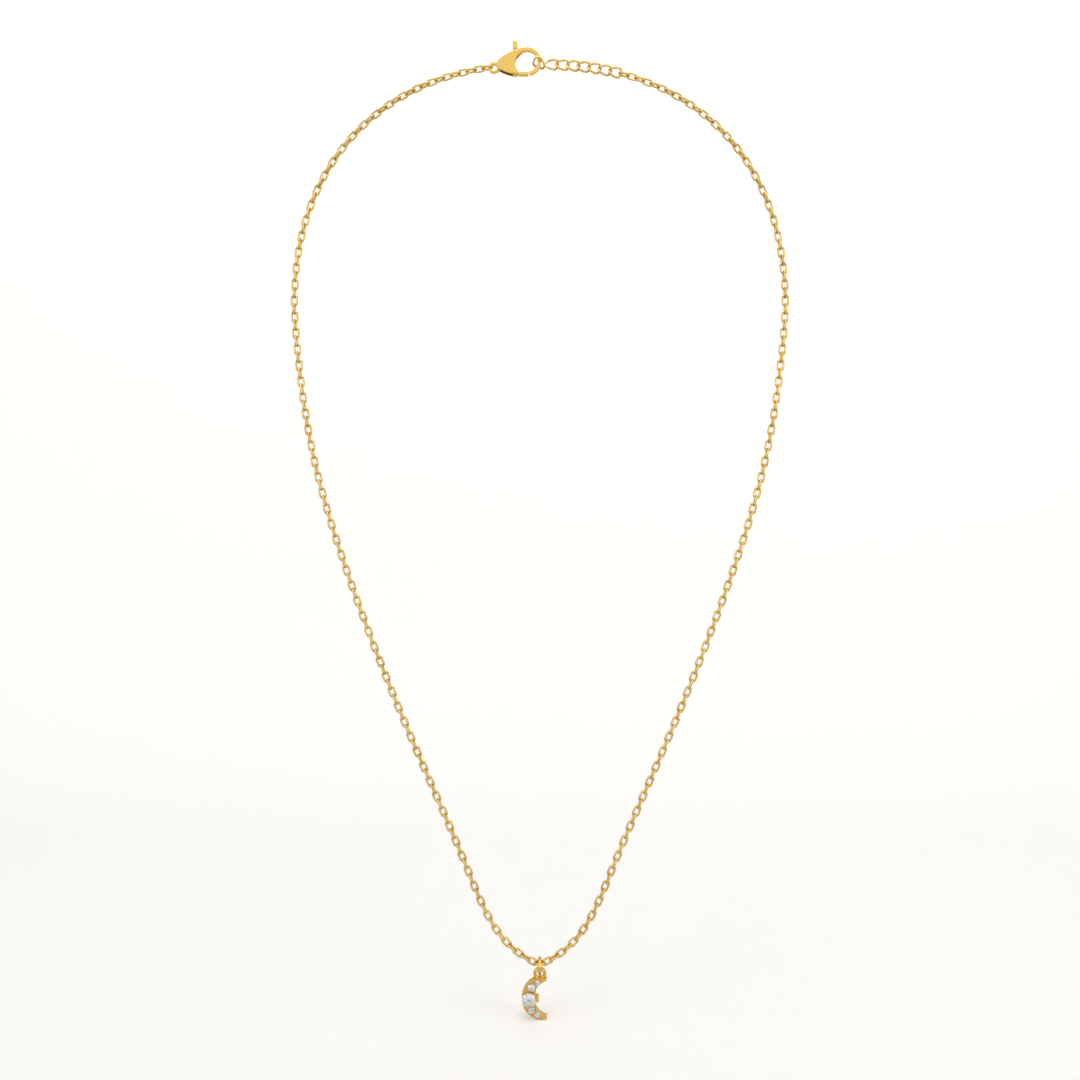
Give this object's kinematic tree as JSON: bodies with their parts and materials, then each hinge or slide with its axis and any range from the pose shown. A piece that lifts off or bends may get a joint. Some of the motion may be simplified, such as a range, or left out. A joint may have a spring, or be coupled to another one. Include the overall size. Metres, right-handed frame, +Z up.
{
  "type": "pendant necklace",
  "caption": "Fine cable-chain necklace with an open crescent pendant set with round clear stones, a lobster clasp and a curb-chain extender.",
  "frame": {"origin": "middle of the nape line, where the loop of chain rests at the back of the neck", "axes": "+Z up, away from the pendant; the front of the pendant faces -Y; +X to the right as seen from the front"},
  "size_m": [0.103, 0.0036, 0.2014],
  "materials": {
    "chain_gold": "bright polished gold wire",
    "clasp_gold": "soft satin polish",
    "polished_gold": "mirror polish",
    "spring_steel": "bare spring strip",
    "clear_stone": "faceted and polished"
  },
  "bodies": {
    "neck_loop": {"left_chain_1": "chain_gold", "left_chain_2": "chain_gold", "left_chain_3": "chain_gold", "right_chain_1": "chain_gold", "right_chain_2": "chain_gold", "right_chain_3": "chain_gold", "extender_link_1": "chain_gold", "extender_link_2": "chain_gold", "extender_link_3": "chain_gold", "extender_link_4": "chain_gold", "extender_link_5": "chain_gold", "extender_link_6": "chain_gold", "extender_link_7": "chain_gold", "extender_link_8": "chain_gold", "clasp_body": "clasp_gold", "clasp_rivet": "clasp_gold", "clasp_spring": "spring_steel"},
    "clasp_lever": {"clasp_lever": "clasp_gold"},
    "band_1": {"left_chain_4": "chain_gold", "right_chain_4": "chain_gold"},
    "band_2": {"left_chain_5": "chain_gold", "right_chain_5": "chain_gold"},
    "band_3": {"left_chain_6": "chain_gold", "right_chain_6": "chain_gold"},
    "band_4": {"left_chain_7": "chain_gold", "right_chain_7": "chain_gold"},
    "band_5": {"left_chain_8": "chain_gold", "right_chain_8": "chain_gold"},
    "band_6": {"left_chain_9": "chain_gold", "right_chain_9": "chain_gold", "centre_link": "chain_gold"},
    "ring": {"jump_ring": "polished_gold"},
    "pendant": {"pendant_eye": "polished_gold", "crescent_setting": "polished_gold", "large_stone_seat": "polished_gold", "stone_top": "clear_stone", "stone_upper": "clear_stone", "stone_large": "clear_stone", "stone_lower": "clear_stone", "stone_bottom": "clear_stone"}
  },
  "joints": [
    {"name": "band_1_swing", "type": "hinge", "parent": "neck_loop", "child": "band_1", "pos_m": [0, 0, -0.05982], "axis": [1, 0, 0], "range_deg": [-45, 45]},
    {"name": "band_2_swing", "type": "hinge", "parent": "band_1", "child": "band_2", "pos_m": [0, 0, -0.07968], "axis": [1, 0, 0], "range_deg": [-45, 45]},
    {"name": "band_3_swing", "type": "hinge", "parent": "band_2", "child": "band_3", "pos_m": [0, 0, -0.10222], "axis": [1, 0, 0], "range_deg": [-45, 45]},
    {"name": "band_4_swing", "type": "hinge", "parent": "band_3", "child": "band_4", "pos_m": [0, 0, -0.12423], "axis": [1, 0, 0], "range_deg": [-45, 45]},
    {"name": "band_5_swing", "type": "hinge", "parent": "band_4", "child": "band_5", "pos_m": [0, 0, -0.14586], "axis": [1, 0, 0], "range_deg": [-45, 45]},
    {"name": "band_6_swing", "type": "hinge", "parent": "band_5", "child": "band_6", "pos_m": [0, 0, -0.16742], "axis": [1, 0, 0], "range_deg": [-45, 45]},
    {"name": "ring_swing", "type": "hinge", "parent": "band_6", "child": "ring", "pos_m": [0, 0, -0.18598], "axis": [1, 0, 0], "range_deg": [-35, 35]},
    {"name": "pendant_swing", "type": "hinge", "parent": "ring", "child": "pendant", "pos_m": [0, 0, -0.18738], "axis": [0, 1, 0], "range_deg": [-45, 45]},
    {"name": "lever_press", "type": "hinge", "parent": "neck_loop", "child": "clasp_lever", "pos_m": [-0.00517, 0, -0.00176], "axis": [0, -1, 0], "range_deg": [0, 20], "stiffness_Nm_per_rad": 0.004, "springref_deg": -17.19, "deforming": ["clasp_spring"]}
  ]
}
